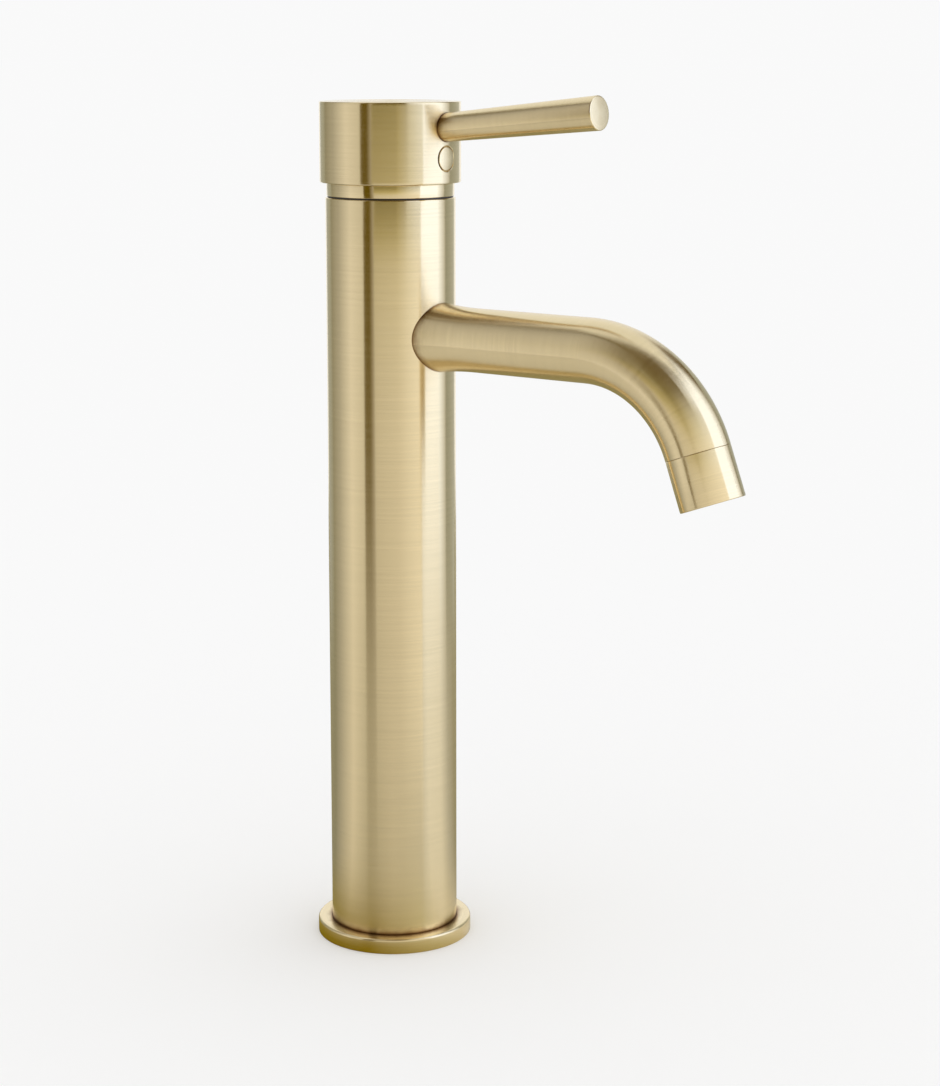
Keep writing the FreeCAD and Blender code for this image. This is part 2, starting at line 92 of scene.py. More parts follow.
class MixerSizes(bpy.types.PropertyGroup):
    """Sizes of the turned and bent pieces"""

    facets: IntProperty(name="Facets", description="Facets round the column", default=192, min=48)
    column_radius: length("Column radius", "Outside radius of the column", BODY_HIGH.x)
    column_wall: length("Column wall", "Wall thickness of the column", 2.0 * MM)
    flange_radius: length("Flange radius", "Outside radius of the base flange", FLANGE_HIGH.x)
    flange_edge: length("Flange edge", "Rounding of the flange's upper edge", 0.9 * MM)
    neck_radius: length("Neck radius", "Outside radius of the neck ring", NECK_HIGH.x)
    cap_radius: length("Cap radius", "Outside radius of the handle cap", CAP_HIGH.x)
    cap_wall: length("Cap wall", "Wall thickness of the cap's skirt", 1.45 * MM)
    cap_roof: length("Cap roof", "Thickness of the cap's top", 3.2 * MM)
    edge: length("Edge", "Width of the eased edges of cap and column", 0.35 * MM)
    # How far the painted shade round the seams reaches.
    seam_shade_width: length("Seam shade width", "How far the tarnish reaches out of a seam", 2.8 * MM)
    spout_radius: length("Spout radius", "Outside radius of the spout tube", 10.9 * MM)
    spout_wall: length("Spout wall", "Wall thickness of the spout tube", 1.5 * MM)
    spout_straight: length("Spout straight", "From the body's axis to the bend", 82.5 * MM)
    spout_bend: length("Spout bend", "Radius of the bend's centre line", 45.0 * MM)
    spout_turn: FloatProperty(
        name="Spout turn",
        description="Angle through which the spout bends down",
        default=math.radians(70.0),
        subtype="ANGLE",
    )
    spout_tail: length("Spout tail", "Straight end of the tube after the bend", 0.3 * MM)
    flare_radius: length("Flare radius", "Radius of the spout's flared root", 12.3 * MM)
    flare_start: length("Flare start", "Where the flare is widest, from the axis", 20.0 * MM)
    flare_end: length("Flare end", "Where the flare meets the plain tube, from the axis", 37.0 * MM)
    sleeve_length: length("Sleeve length", "Length of the aerator sleeve", 17.2 * MM)
    sleeve_bore: length("Sleeve bore", "Inside radius of the aerator sleeve", 8.2 * MM)
    lever_root: length("Lever root", "Radius of the lever at the cap", 4.85 * MM)
    lever_tip: length("Lever tip", "Radius of the lever at its end", 5.7 * MM)
    lever_axis: length("Lever axis", "Height at which the lever's line crosses the body's axis", 286.2 * MM)
    lever_rise: FloatProperty(
        name="Lever rise",
        description="Angle of the lever above the horizontal",
        default=math.radians(5.4),
        subtype="ANGLE",
    )


class MixerFinishes(bpy.types.PropertyGroup):
    """Colours of the finishes"""

    champagne: colour("Champagne brass", "Brushed coated brass outside", (0.90, 0.73, 0.43))
    # Painted shade: a brown darkening laid into the brass round the seams where parts meet, for the shade and dark
    # reflections there.
    painted_shade: colour("Painted seam shade", "Brown that gathers in the seams", (0.20, 0.08, 0.005))
    raw_brass: colour("Raw brass", "Machined brass inside", (0.78, 0.56, 0.25))
    copper: colour("Copper", "Feed pipes", (0.80, 0.42, 0.28))
    steel: colour("Stainless steel", "Screws and pin", (0.60, 0.60, 0.61))
    rubber: colour("Black rubber", "Seals and gasket", (0.018, 0.018, 0.018))
    black_acetal: colour("Black acetal", "Slip ring", (0.03, 0.02, 0.01))
    white_acetal: colour("White acetal", "Cartridge parts", (0.74, 0.73, 0.69))
    grey_plastic: colour("Grey plastic", "Aerator parts", (0.33, 0.34, 0.35))
    ceramic: colour("Alumina ceramic", "Valve discs", (0.84, 0.83, 0.80))


class MixerStage(bpy.types.PropertyGroup):
    """Camera, floor and lights"""

    azimuth: FloatProperty(name="Azimuth", description="Camera's angle round the mixer", default=-53.5)
    elevation: FloatProperty(name="Elevation", description="Camera's angle above the horizon", default=10.2)
    distance: length("Distance", "From the camera to its target", 0.8482)
    focal: FloatProperty(name="Focal length", description="In millimetres", default=79.9, min=10)
    target_side: length("Target side", "Target's place to the right of the body's axis", 27.4 * MM)
    target_height: length("Target height", "Height of the camera's target", 165.9 * MM)
    shift: FloatProperty(name="Shift", description="Vertical lens shift", default=-0.06)
    floor_tone: FloatProperty(
        name="Floor tone", description="Paleness of the floor", default=0.95, min=0, max=1
    )


# ---- mesh tools ----


def clear_selection():
    if bpy.context.mode != "OBJECT":
        bpy.ops.object.mode_set(mode="OBJECT")
    bpy.ops.object.select_all(action="DESELECT")
    bpy.context.view_layer.objects.active = None


def pick(kind, test):
    """In edit mode, selects the vertices, edges or faces whose middle passes the test."""
    bpy.ops.mesh.select_mode(type=kind)
    bpy.ops.mesh.select_all(action="DESELECT")
    mesh = bpy.context.object.data
    work = bmesh.from_edit_mesh(mesh)
    if kind == "VERT":
        found = [(v, v.co) for v in work.verts]
    elif kind == "EDGE":
        found = [(e, (e.verts[0].co + e.verts[1].co) / 2) for e in work.edges]
    else:
        found = [(f, f.calc_center_median()) for f in work.faces]
    chosen = 0
    for element, middle in found:
        if test(element, middle):
            element.select_set(True)
            chosen += 1
    work.select_flush_mode()
    bmesh.update_edit_mesh(mesh)
    return chosen


def draw_outline(name, corners):
    """Starts a piece as one face in the XZ plane: a point, drawn out corner by corner and filled."""
    clear_selection()
    bpy.ops.mesh.primitive_plane_add(size=MM)
    piece = bpy.context.object
    piece.name = name
    piece.data.name = name
    bpy.ops.object.mode_set(mode="EDIT")
    bpy.ops.mesh.select_mode(type="VERT")
    bpy.ops.mesh.select_all(action="SELECT")
    bpy.ops.mesh.merge(type="CENTER")
    first_r, first_z = corners[0]
    bpy.ops.transform.translate(value=(first_r, 0, first_z))
    for (r0, z0), (r1, z1) in zip(corners, corners[1:]):
        bpy.ops.mesh.extrude_vertices_move(TRANSFORM_OT_translate={"value": (r1 - r0, 0, z1 - z0)})
    bpy.ops.mesh.select_all(action="SELECT")
    bpy.ops.mesh.edge_face_add()
    return piece


def ease_corners(places, width, segments=3):
    """Rounds the outline's corners at the given (radius, height) places."""
    found = pick(
        "VERT",
        lambda v, p: any(math.hypot(p.x - r, p.z - z) < 10 * EPSILON for r, z in places),
    )
    if found != len(places):
        raise RuntimeError(f"{found} of {len(places)} outline corners were found")
    bpy.ops.mesh.bevel(affect="VERTICES", offset=width, segments=segments, profile=0.5)


def divide_edge(test, cuts):
    """Cuts the chosen straight edge of the outline into equal lengths."""
    if pick("EDGE", test) != 1:
        raise RuntimeError("the edge to divide was not found")
    bpy.ops.mesh.subdivide(number_cuts=cuts)


def spin_outline(steps):
    """Turns the outline about the vertical axis into a closed skin."""
    bpy.ops.mesh.select_mode(type="FACE")
    bpy.ops.mesh.select_all(action="SELECT")
    bpy.ops.mesh.delete(type="ONLY_FACE")
    on_axis = pick("EDGE", lambda e, p: all(abs(v.co.x) < EPSILON for v in e.verts))
    if on_axis:
        bpy.ops.mesh.delete(type="EDGE")
    bpy.ops.mesh.select_mode(type="VERT")
    bpy.ops.mesh.select_all(action="SELECT")
    bpy.ops.mesh.spin(steps=steps, angle=FULL_TURN, center=(0, 0, 0), axis=(0, 0, 1))
    close_skin()


def close_skin():
    """Merges doubles and turns every face outwards."""
    bpy.ops.mesh.select_mode(type="VERT")
    bpy.ops.mesh.select_all(action="SELECT")
    bpy.ops.mesh.remove_doubles(threshold=EPSILON)
    bpy.ops.mesh.select_all(action="SELECT")
    bpy.ops.mesh.normals_make_consistent(inside=False)


def finish_piece(piece, body, nodes, material, place):
    """Shades the piece, lays its grain map, gives it its finish and joins it to its body."""
    clear_selection()
    piece.select_set(True)
    bpy.context.view_layer.objects.active = piece
    bpy.ops.object.transform_apply(location=True, rotation=True, scale=True)
    bpy.ops.object.shade_smooth_by_angle(angle=SMOOTH_UNDER)
    lay_grain(piece, place)
    piece.data.materials.clear()
    piece.data.materials.append(material)
    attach(piece, body)
    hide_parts(*nodes)
    clear_selection()


def wrapped(angle):
    return (angle + math.pi) % FULL_TURN - math.pi


def lay_grain(piece, place):
    """Writes a UV map whose first direction crosses the brushing and whose second follows it.

    place gives, for a point, its distance along the piece, its angle round it and its distance
    from the piece's centre line.
    """
    mesh = piece.data
    while mesh.uv_layers:
        mesh.uv_layers.remove(mesh.uv_layers[0])
    layer = mesh.uv_layers.new(name=GRAIN_MAP)
    placed = [place(v.co) for v in mesh.vertices]
    for face in mesh.polygons:
        _, middle_angle, _ = place(face.center)
        for corner, vertex in zip(face.loop_indices, face.vertices):
            along, angle, radius = placed[vertex]
            turn = wrapped(angle - middle_angle) if radius > 10 * EPSILON else 0.0
            layer.data[corner].uv = (along, (middle_angle + turn) * METRES_PER_RADIAN)


def about_body(point):
    """Place about the body's axis, where the brushing on a flat face runs in circles."""
    radius = math.hypot(point.x, point.y)
    return radius - point.z, math.atan2(point.x, -point.y), radius


# ---- places on the spout and the lever ----


def spout_height():
    return (SEAL_LOW.z + SEAL_HIGH.z) / 2


def flow_direction(sizes):
    return Vector((0, -math.cos(sizes.spout_turn), -math.sin(sizes.spout_turn)))


def bend_centre(sizes):
    return Vector((0, -sizes.spout_straight, spout_height() - sizes.spout_bend))


def spout_end(sizes):
    """Centre of the tube's lower end, where the aerator sleeve starts."""
    turn = sizes.spout_turn
    across = Vector((0, -math.sin(turn), math.cos(turn)))
    return bend_centre(sizes) + across * sizes.spout_bend + flow_direction(sizes) * sizes.spout_tail


def along_spout(point):
    """Distance along the spout's centre line, angle round it and distance from it."""
    sizes = bpy.context.scene.mixer_sizes
    centre = bend_centre(sizes)
    bend, turn = sizes.spout_bend, sizes.spout_turn
    if point.y > centre.y:
        up = point.z - spout_height()
        return -point.y, math.atan2(point.x, up), math.hypot(point.x, up)
    theta = math.atan2(centre.y - point.y, point.z - centre.z)
    if theta < turn:
        up = math.hypot(point.y - centre.y, point.z - centre.z) - bend
        return sizes.spout_straight + bend * theta, math.atan2(point.x, up), math.hypot(point.x, up)
    from_end = point - spout_end(sizes)
    outward = Vector((0, -math.sin(turn), math.cos(turn)))
    up = from_end.dot(outward)
    past = from_end.dot(flow_direction(sizes))
    distance = sizes.spout_straight + bend * turn + sizes.spout_tail + past
    radius = math.hypot(point.x, up)
    return distance + radius - sizes.spout_radius, math.atan2(point.x, up), radius


def lever_direction(sizes):
    return Vector((0, -math.cos(sizes.lever_rise), math.sin(sizes.lever_rise)))


def lever_start(sizes):
    """Point where the lever's line leaves the cap."""
    rise = sizes.cap_radius * math.tan(sizes.lever_rise)
    return Vector((0, -sizes.cap_radius, sizes.lever_axis + rise))


def along_lever(point):
    """Distance along the lever's line, angle round it and distance from it."""
    sizes = bpy.context.scene.mixer_sizes
    direction = lever_direction(sizes)
    offset = point - lever_start(sizes)
    past = offset.dot(direction)
    across = offset - direction * past
    up = across.dot(Vector((0, direction.z, -direction.y)))
    return past - across.length, math.atan2(across.x, up), across.length


def set_along(piece, start, direction):
    """Places a piece built about Z, with z along its own axis, at a start and a direction."""
    clear_selection()
    piece.select_set(True)
    bpy.context.view_layer.objects.active = piece
    piece.rotation_mode = "QUATERNION"
    piece.rotation_quaternion = direction.to_track_quat("Z", "Y")
    piece.location = start
    bpy.ops.object.transform_apply(location=True, rotation=True, scale=True)


# ---- finishes ----

# Brushing: lines per metre, stretch of the noise along a line, density and height of the broad lines
# against the fine ones, share of the slow changes, darkest tone, and change of roughness.
LINE_DENSITY = 2600
LINE_STRETCH = 40
BROAD_DENSITY = 0.36
BROAD_HEIGHT = 0.6
SLOW_SHARE = 0.3
SLOW_SCALE = 28
DARK_LINE = 0.88
ROUGHNESS_CHANGE = 0.3
NOISE_MEAN = 0.5

# Roughness, anisotropy and depth of the brushed finishes.
BRUSHED = {
    "champagne_brass": (0.21, 0.97, 0.002 * MM),
    "champagne_polished": (0.15, 0.93, 0.0015 * MM),
}

# The other finishes: colour, roughness, metallic, scale and depth of the grain, and what else is special.
MOTTLED = {
    "raw_brass": ("raw_brass", 0.32, 1, 900, 0.02 * MM, {"stretch": (0.1, 0.1, 1)}),
    "copper_tube": ("copper", 0.28, 1, 500, 0.01 * MM, {"stretch": (1, 1, 0.05)}),
    "stainless_steel": ("steel", 0.26, 1, 1500, 0.01 * MM, {}),
    "black_rubber": ("rubber", 0.62, 0, 2500, 0.02 * MM, {}),
    "black_acetal": ("black_acetal", 0.38, 0, 1500, 0.01 * MM, {}),
    "white_acetal": ("white_acetal", 0.42, 0, 1200, 0.01 * MM, {"contrast": 0.03}),
    "grey_plastic": ("grey_plastic", 0.40, 0, 1600, 0.01 * MM, {"contrast": 0.05}),
    "alumina_ceramic": ("ceramic", 0.16, 0, 2200, 0.004 * MM, {"contrast": 0.02, "coat": 0.3}),
}


def new_material(name):
    material = bpy.data.materials.new(name)
    material.use_nodes = True
    tree = material.node_tree
    return material, tree, tree.nodes["Principled BSDF"]


def feed(node, values):
    """Links or sets the node's inputs, given by name or number."""
    for key, value in values.items():
        if isinstance(value, bpy.types.NodeSocket):
            node.id_data.links.new(value, node.inputs[key])
        else:
            node.inputs[key].default_value = value
    return node


def add_node(tree, kind, place, values=None, **settings):
    """Adds a node at a place in the editor, with its settings and its inputs."""
    node = tree.nodes.new(kind)
    node.location = place
    for name, value in settings.items():
        setattr(node, name, value)
    return feed(node, values or {})


def calculate(tree, place, operation, *values):
    return add_node(tree, "ShaderNodeMath", place, dict(enumerate(values)), operation=operation).outputs[0]


def ranged(tree, place, value, low, high, low_result, high_result):
    """Maps a value from one range to another and stops at its ends."""
    values = {
        "Value": value,
        "From Min": low,
        "From Max": high,
        "To Min": low_result,
        "To Max": high_result,
    }
    return add_node(tree, "ShaderNodeMapRange", place, values).outputs["Result"]


def mix_colours(tree, place, factor, first, second):
    """Blend of two colours, each a socket or three numbers."""
    values = {"Factor": factor}
    for key, tone in (("A", first), ("B", second)):
        values[key] = tone if isinstance(tone, bpy.types.NodeSocket) else (*tone, 1)
    return add_node(tree, "ShaderNodeMix", place, values, data_type="RGBA").outputs["Result"]


def line_noise(tree, place, vector, along, detail):
    values = {"Vector": vector, "W": along, "Scale": 1.0, "Detail": detail, "Roughness": 0.6}
    return add_node(tree, "ShaderNodeTexNoise", place, values, noise_dimensions="4D").outputs["Fac"]


def new_group(name, inputs, outputs):
    """Node group whose sockets are given by name; its inputs are numbers, except the position."""
    tree = bpy.data.node_groups.new(name, "ShaderNodeTree")
    for socket in inputs:
        kind = "NodeSocketVector" if socket == "Position" else "NodeSocketFloat"
        tree.interface.new_socket(name=socket, in_out="INPUT", socket_type=kind)
    for socket in outputs:
        tree.interface.new_socket(name=socket, in_out="OUTPUT", socket_type="NodeSocketFloat")
    entry = add_node(tree, "NodeGroupInput", (-900, 0))
    leave = add_node(tree, "NodeGroupOutput", (700, 0))
    return tree, entry.outputs, leave


def brushing_group():
    """Brushed lines: fine scratches over broader ones, with slow changes in sheen."""
    tree, given, leave = new_group(
        "brushing",
        ("Position", "Across", "Line density", "Line length", "Base roughness", "Roughness change"),
        ("Height", "Roughness", "Tone"),
    )
    values = {0: given["Position"], "Scale": given["Line length"]}
    stretched = add_node(tree, "ShaderNodeVectorMath", (-650, 150), values, operation="SCALE").outputs[0]
    fine_along = calculate(tree, (-650, 0), "MULTIPLY", given["Across"], given["Line density"])
    broad_along = calculate(tree, (-450, -100), "MULTIPLY", fine_along, BROAD_DENSITY)
    fine = line_noise(tree, (-250, 200), stretched, fine_along, 0.5)
    broad = line_noise(tree, (-250, -60), stretched, broad_along, 1.0)
    height = calculate(
        tree, (0, 100), "ADD", fine, calculate(tree, (-50, -60), "MULTIPLY", broad, BROAD_HEIGHT)
    )
    values = {"Vector": given["Position"], "Scale": SLOW_SCALE, "Detail": 2.0}
    slow = add_node(tree, "ShaderNodeTexNoise", (-250, -300), values).outputs["Fac"]
    slow_share = calculate(tree, (-100, -300), "MULTIPLY", slow, SLOW_SHARE)
    mixed = calculate(tree, (0, -200), "ADD", broad, slow_share)
    centred = calculate(tree, (150, -200), "SUBTRACT", mixed, NOISE_MEAN * (1 + SLOW_SHARE))
    change = calculate(tree, (300, -200), "MULTIPLY", centred, given["Roughness change"])
    rough = calculate(tree, (450, -200), "ADD", change, given["Base roughness"])
    tone = calculate(tree, (200, 0), "SUBTRACT", height, NOISE_MEAN * BROAD_HEIGHT)
    feed(leave, {"Height": height, "Roughness": rough, "Tone": tone})


def seam_shade_group():
    """Mask of painted shade near a seam: round a circle about the body's axis, or all over its cylinder."""
    tree, given, leave = new_group(
        "seam tarnish", ("Position", "Radius", "Height", "Height weight", "Width"), ("Mask",)
    )
    parts = add_node(tree, "ShaderNodeSeparateXYZ", (-700, 0), {0: given["Position"]}).outputs
    x_squared = calculate(tree, (-550, 100), "MULTIPLY", parts["X"], parts["X"])
    y_squared = calculate(tree, (-550, -50), "MULTIPLY", parts["Y"], parts["Y"])
    reach = calculate(tree, (-250, 0), "SQRT", calculate(tree, (-400, 0), "ADD", x_squared, y_squared))
    gap = calculate(tree, (-100, 0), "SUBTRACT", reach, given["Radius"])
    rise = calculate(tree, (-400, -250), "SUBTRACT", parts["Z"], given["Height"])
    weighed = calculate(tree, (-250, -250), "MULTIPLY", rise, given["Height weight"])
    far = calculate(tree, (50, -100), "MAXIMUM", gap, calculate(tree, (-100, -250), "ABSOLUTE", weighed))
    values = {"Vector": given["Position"], "Scale": 260.0}
    uneven = add_node(tree, "ShaderNodeTexNoise", (-400, 300), values).outputs["Fac"]
    width_here = calculate(tree, (50, 150), "MULTIPLY", uneven, given["Width"])
    full_width = calculate(tree, (200, 150), "DIVIDE", width_here, NOISE_MEAN)
    share = calculate(tree, (200, 0), "DIVIDE", far, full_width)
    left_over = calculate(tree, (350, 0), "SUBTRACT", 1.0, share)
    clipped = calculate(tree, (450, 0), "MAXIMUM", left_over, 0.0)
    feed(leave, {"Mask": calculate(tree, (550, 0), "MULTIPLY", clipped, clipped)})


def paint_seam_shade(material, radius, height, width):
    """Paints shade into the material's colour near a seam, standing in for the shade and dark reflections where
    parts meet; with no height, all round that radius.
    """
    tree = material.node_tree
    shader = tree.nodes["Principled BSDF"]
    clean = shader.inputs["Base Color"].links[0].from_socket
    values = {
        "Position": add_node(tree, "ShaderNodeTexCoord", (-900, 600)).outputs["Object"],
        "Radius": radius,
        "Height": height or 0.0,
        "Height weight": 0.0 if height is None else 1.0,
        "Width": width,
    }
    group = bpy.data.node_groups["seam tarnish"]
    seam = add_node(tree, "ShaderNodeGroup", (-600, 600), values, node_tree=group)
    painted_shade = bpy.context.scene.mixer_finishes.painted_shade
    feed(shader, {"Base Color": mix_colours(tree, (-150, 450), seam.outputs["Mask"], clean, painted_shade)})


def brushed_metal(name, base, roughness, anisotropy, depth):
    """Metal brushed along its grain map: reflections spread across the lines and stay sharp along them."""
    material, tree, shader = new_material(name)
    place = add_node(tree, "ShaderNodeTexCoord", (-1100, 0)).outputs
    values = {
        "Position": place["Object"],
        "Across": add_node(tree, "ShaderNodeSeparateXYZ", (-900, -200), {0: place["UV"]}).outputs["X"],
        "Line density": LINE_DENSITY,
        "Line length": LINE_STRETCH,
        "Base roughness": roughness,
        "Roughness change": roughness * ROUGHNESS_CHANGE,
    }
    group = bpy.data.node_groups["brushing"]
    lines = add_node(tree, "ShaderNodeGroup", (-700, 0), values, node_tree=group).outputs
    tone = mix_colours(tree, (-350, 250), lines["Tone"], [c * DARK_LINE for c in base], base)
    values = {"Strength": 1.0, "Distance": depth, "Height": lines["Height"]}
    bump = add_node(tree, "ShaderNodeBump", (-350, -250), values)
    tangent = add_node(
        tree, "ShaderNodeTangent", (-350, -450), direction_type="UV_MAP", uv_map=GRAIN_MAP
    )
    values = {
        "Base Color": tone,
        "Roughness": lines["Roughness"],
        "Normal": bump.outputs["Normal"],
        "Tangent": tangent.outputs["Tangent"],
        "Metallic": 1.0,
        "Anisotropic": anisotropy,
    }
    feed(shader, values)
    return material


def mottled(name, base, roughness, metallic, scale, depth, stretch=(1, 1, 1), contrast=0.12, coat=0.0):
    """Turned, moulded or cast surface with a fine grain in the part's own coordinates."""
    material, tree, shader = new_material(name)
    place = add_node(tree, "ShaderNodeTexCoord", (-1000, 0)).outputs["Object"]
    stretched = add_node(tree, "ShaderNodeMapping", (-800, 0), {"Vector": place, "Scale": stretch})
    values = {"Vector": stretched.outputs["Vector"], "Scale": scale, "Detail": 4.0}
    grain = add_node(tree, "ShaderNodeTexNoise", (-600, 0), values).outputs["Fac"]
    dark = [c * (1 - contrast) for c in base]
    light = [min(1.0, c * (1 + contrast)) for c in base]
    bump = add_node(tree, "ShaderNodeBump", (-350, -250), {"Distance": depth, "Height": grain})
    values = {
        "Base Color": mix_colours(tree, (-350, 200), grain, dark, light),
        "Roughness": calculate(tree, (-350, 0), "MULTIPLY_ADD", grain, roughness * 0.4, roughness * 0.8),
        "Normal": bump.outputs["Normal"],
        "Metallic": metallic,
        "Coat Weight": coat,
    }
    feed(shader, values)
    return material


def finish(slot, seam=None):
    """The finish of that slot, made once from the colours in the finishes panel.

    A seam, as its name, radius, height and width, adds painted shade there: a brown darkening that stands in for
    the shade and dark reflections where parts meet.
    """
    name = slot + "_finish"
    if seam:
        seam_name, *seam_place = seam
        marked = finish(slot).copy()
        marked.name = name + "_" + seam_name
        paint_seam_shade(marked, *seam_place)
        return marked
    if name in bpy.data.materials:
        return bpy.data.materials[name]
    tones = bpy.context.scene.mixer_finishes
    if slot in BRUSHED:
        return brushed_metal(name, tones.champagne, *BRUSHED[slot])
    tone, *grain, special = MOTTLED[slot]
    return mottled(name, getattr(tones, tone), *grain, **special)


# ---- pieces ----


class MIXER_OT_column(bpy.types.Operator):
    """Turn the column: a tube with an eased upper edge"""

    bl_idname = "mixer.column"
    bl_label = "Column"

    def execute(self, context):
        sizes = context.scene.mixer_sizes
        outer = sizes.column_radius
        inner = outer - sizes.column_wall
        low, high = BODY_LOW.z, BODY_HIGH.z
        bands = 12
        piece = draw_outline("column", [(inner, low), (outer, low), (outer, high), (inner, high)])
        ease_corners([(outer, high)], sizes.edge)
        divide_edge(lambda e, p: p.x > outer - EPSILON, bands - 1)
        spin_outline(sizes.facets)
        # Painted shade round the column's foot, where it stands on the flange.
        brass = finish("champagne_brass", ("column_foot", outer, FLANGE_HIGH.z, sizes.seam_shade_width))
        finish_piece(piece, "body", ["body_shell"], brass, about_body)
        return {"FINISHED"}


class MIXER_OT_flange(bpy.types.Operator):
    """Turn the base flange, with a ledge for the column and a groove for the gasket"""

    bl_idname = "mixer.flange"
    bl_label = "Base flange"

    def execute(self, context):
        sizes = context.scene.mixer_sizes
        outer = sizes.flange_radius
        seat = sizes.column_radius + CLEARANCE
        hole = sizes.column_radius - sizes.column_wall + 2 * CLEARANCE
        ledge = BODY_LOW.z - CLEARANCE
        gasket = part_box("base_gasket")[1]
        groove_width = 3.0 * MM
        groove_out = gasket.x + CLEARANCE
        groove_in = groove_out - groove_width
        groove_z = gasket.z + CLEARANCE
        sharp_edge = 0.15 * MM
        top = FLANGE_HIGH.z
        piece = draw_outline(
            "base_ring",
            [
                (hole, 0),
                (groove_in, 0),
                (groove_in, groove_z),
                (groove_out, groove_z),
                (groove_out, 0),
                (outer, 0),
                (outer, top),
                (seat, top),
                (seat, ledge),
                (hole, ledge),
            ],
        )
        ease_corners([(outer, top)], sizes.flange_edge, 6)
        ease_corners([(outer, 0), (seat, top)], sharp_edge, 2)
        spin_outline(sizes.facets)
        # Painted shade round the seat where the column stands in the flange.
        brass = finish("champagne_brass", ("flange_seat", seat, top, sizes.seam_shade_width))
        finish_piece(piece, "body", ["base_flange"], brass, about_body)
        return {"FINISHED"}


class MIXER_OT_neck(bpy.types.Operator):
    """Turn the bright ring between the column and the cap; its top is a dome about the pivot"""

    bl_idname = "mixer.neck"
    bl_label = "Neck ring"

    def execute(self, context):
        sizes = context.scene.mixer_sizes
        outer = sizes.neck_radius
        ring_nip = 0.7 * MM
        shoulder = 4.95 * MM
        low_edge = 0.2 * MM
        dome_steps = 6
        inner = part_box("neck_oring")[1].x - ring_nip
        low, high = NECK_LOW.z, NECK_HIGH.z
        straight = low + shoulder
        dome_sq = outer**2 + (straight - PIVOT_Z) ** 2
        dome = []
        for step in range(1, dome_steps + 1):
            z = straight + (high - straight) * step / dome_steps
            dome.append((math.sqrt(dome_sq - (z - PIVOT_Z) ** 2), z))
        corners = [(inner, low), (outer, low), (outer, straight), *dome, (inner, high)]
        piece = draw_outline("neck_band", corners)
        ease_corners([(outer, low)], low_edge)
        spin_outline(sizes.facets)
        brass = finish("champagne_polished")
        finish_piece(piece, "body", ["neck_ring"], brass, about_body)
        return {"FINISHED"}


class MIXER_OT_spout(bpy.types.Operator):
    """Draw out the spout: flared root, straight run, bend and short tail"""

    bl_idname = "mixer.spout"
    bl_label = "Spout"

    def execute(self, context):
        sizes = context.scene.mixer_sizes
        height = spout_height()
        proud = 0.4 * MM
        root_y = -(sizes.column_radius + proud)
        clear_selection()
        bpy.ops.mesh.primitive_circle_add(
            vertices=TUBE_FACETS,
            radius=flare_at(sizes, -root_y),
            location=(0, root_y, height),
            rotation=(math.pi / 2, 0, 0),
        )
        piece = context.object
        piece.name = "spout_pipe"
        piece.data.name = "spout_pipe"
        bpy.ops.object.transform_apply(location=True, rotation=True, scale=True)
        bpy.ops.object.mode_set(mode="EDIT")
        bpy.ops.mesh.select_all(action="SELECT")
        y = root_y
        flare_steps, straight_steps, bend_steps = 12, 4, 56
        stride = (sizes.flare_end + root_y) / flare_steps
        for _ in range(flare_steps):
            ratio = flare_at(sizes, stride - y) / flare_at(sizes, -y)
            y -= stride
            bpy.ops.mesh.extrude_region_move(TRANSFORM_OT_translate={"value": (0, -stride, 0)})
            bpy.ops.transform.resize(value=(ratio, 1, ratio), center_override=(0, y, height))
        run = (sizes.spout_straight + y) / straight_steps
        for _ in range(straight_steps):
            bpy.ops.mesh.extrude_region_move(TRANSFORM_OT_translate={"value": (0, -run, 0)})
        bpy.ops.mesh.spin(
            steps=bend_steps, angle=sizes.spout_turn, center=bend_centre(sizes), axis=(-1, 0, 0)
        )
        tail = flow_direction(sizes) * sizes.spout_tail
        bpy.ops.mesh.extrude_region_move(TRANSFORM_OT_translate={"value": tail})
        seat_root(piece, sizes, root_y)
        close_skin()
        bpy.ops.object.mode_set(mode="OBJECT")
        wall = piece.modifiers.new("wall", "SOLIDIFY")
        wall.thickness = sizes.spout_wall
        wall.offset = -1
        wall.use_even_offset = True
        bpy.ops.object.modifier_apply(modifier=wall.name)
        # Painted shade round the spout's root, where it meets the column.
        brass = finish("champagne_brass", ("spout_root", sizes.column_radius, None, sizes.seam_shade_width))
        finish_piece(piece, "body", ["spout_tube"], brass, along_spout)
        return {"FINISHED"}


def flare_at(sizes, distance):
    """Radius of the spout's outside at a distance from the body's axis."""
    share = (sizes.flare_end - distance) / (sizes.flare_end - sizes.flare_start)
    return sizes.spout_radius + (sizes.flare_radius - sizes.spout_radius) * max(0.0, share) ** 2


def seat_root(piece, sizes, root_y):
    """Draws the root ring back onto the column, so that the flare follows its round face."""
    pick("VERT", lambda v, p: abs(p.y - root_y) < EPSILON)
    bpy.ops.mesh.extrude_region_move(TRANSFORM_OT_translate={"value": (0, 0, 0)})
    work = bmesh.from_edit_mesh(piece.data)
    height = spout_height()
    sunk = 0.1 * MM
    settling_rounds = 5
    skin = sizes.column_radius - sunk
    for vertex in work.verts:
        if not vertex.select:
            continue
        angle = math.atan2(vertex.co.x, vertex.co.z - height)
        distance = sizes.column_radius
        for _ in range(settling_rounds):
            radius = flare_at(sizes, distance)
            distance = math.sqrt(skin**2 - (radius * math.sin(angle)) ** 2)
        vertex.co = (radius * math.sin(angle), -distance, height + radius * math.cos(angle))
    bmesh.update_edit_mesh(piece.data)


